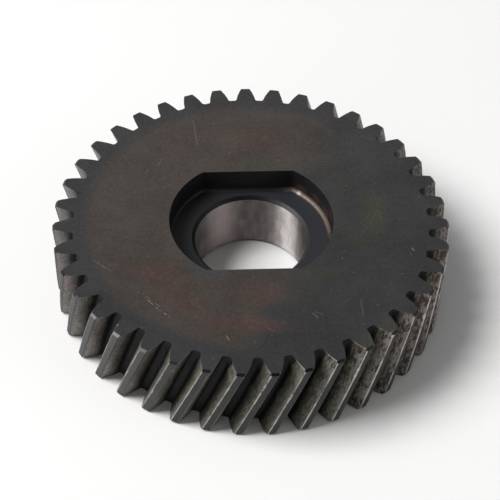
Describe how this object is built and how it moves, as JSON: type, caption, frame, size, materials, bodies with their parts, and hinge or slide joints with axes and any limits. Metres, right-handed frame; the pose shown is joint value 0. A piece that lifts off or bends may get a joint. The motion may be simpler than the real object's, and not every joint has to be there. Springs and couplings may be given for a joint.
{
  "type": "helical gear",
  "caption": "Right-hand helical gear with a ground through bore and a shallow double-D seat sunk in its upper face.",
  "frame": {"origin": "centre of the lower face, on the bore's axis", "axes": "+Z along the bore, from the lower face towards the face with the seat; the seat's flats run along X"},
  "size_m": [0.054, 0.054, 0.0127],
  "materials": {
    "blackened_steel": "blackened steel, mottled and scratched, with worn tooth edges and a bright ground bore"
  },
  "bodies": {
    "root": {"helical_gear": "blackened_steel"}
  },
  "joints": []
}
